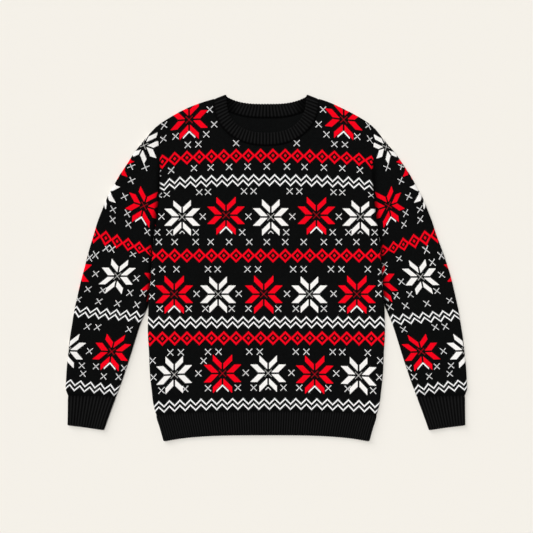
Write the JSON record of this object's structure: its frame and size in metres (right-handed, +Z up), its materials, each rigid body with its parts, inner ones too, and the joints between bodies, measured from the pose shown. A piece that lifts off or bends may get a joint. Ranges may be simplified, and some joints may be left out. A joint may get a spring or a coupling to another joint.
{
  "type": "christmas sweater laid flat",
  "caption": "Long-sleeved crew neck knitted pullover laid flat on its back, with rib neckband, cuffs and hem and a winter star pattern.",
  "frame": {"origin": "middle of the garment's box on the surface that it lies on", "axes": "+X towards the wearer's left sleeve, +Y from hem to neck, +Z up out of the front"},
  "size_m": [0.842, 0.7262, 0.0092],
  "materials": {
    "jacquard_knit": "matt black jacquard knit with off-white and red motifs",
    "rib_knit": "matt black rib knit"
  },
  "bodies": {
    "root": {"front_panel": "jacquard_knit", "back_panel": "jacquard_knit", "left_sleeve": "jacquard_knit", "right_sleeve": "jacquard_knit", "left_cuff": "rib_knit", "right_cuff": "rib_knit", "hem_rib_front": "rib_knit", "hem_rib_back": "rib_knit", "neckband": "rib_knit"}
  },
  "joints": []
}
